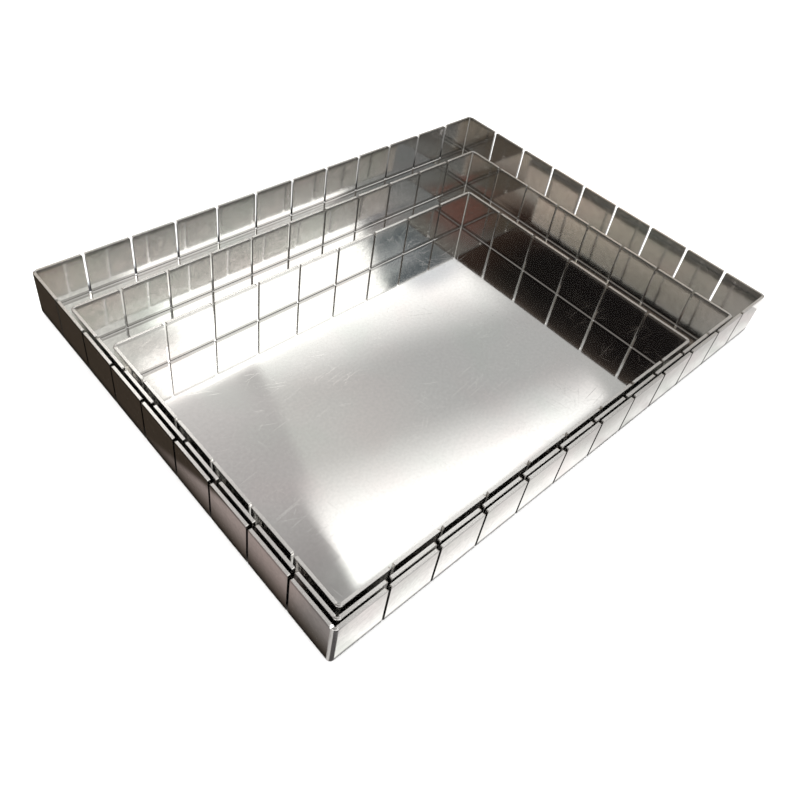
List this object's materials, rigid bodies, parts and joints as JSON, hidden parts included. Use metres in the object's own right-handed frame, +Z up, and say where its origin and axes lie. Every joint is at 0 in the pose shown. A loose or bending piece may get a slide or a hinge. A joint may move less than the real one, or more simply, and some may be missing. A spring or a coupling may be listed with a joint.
{
  "type": "slotted baking tray set",
  "caption": "Nest of rectangular polished metal baking trays with knife slits down their walls, each standing in the next larger one.",
  "frame": {"origin": "middle of the outer tray's footprint, on the surface that it stands on", "axes": "+X along the long side, to the right; +Y along the short side, to the back; +Z up"},
  "size_m": [0.4, 0.297, 0.0382],
  "materials": {
    "sheet": "polished to a soft mirror, with a faint grain down the walls, fine scratches on the floors and bright cut edges",
    "weld": "weld ground and dressed to a rounded corner, duller than the sheet"
  },
  "bodies": {
    "outer_tray": {"outer_sheet": "sheet", "outer_weld_front_left": "weld", "outer_weld_front_right": "weld", "outer_weld_back_left": "weld", "outer_weld_back_right": "weld"},
    "middle_tray": {"middle_sheet": "sheet", "middle_weld_front_left": "weld", "middle_weld_front_right": "weld", "middle_weld_back_left": "weld", "middle_weld_back_right": "weld"},
    "inner_tray": {"inner_sheet": "sheet", "inner_weld_front_left": "weld", "inner_weld_front_right": "weld", "inner_weld_back_left": "weld", "inner_weld_back_right": "weld"}
  },
  "joints": [
    {"name": "middle_tray_lift", "type": "slide", "parent": "outer_tray", "child": "middle_tray", "axis": [0, 0, 1], "range_m": [0, 0.06]},
    {"name": "inner_tray_lift", "type": "slide", "parent": "middle_tray", "child": "inner_tray", "axis": [0, 0, 1], "range_m": [0, 0.06]}
  ]
}
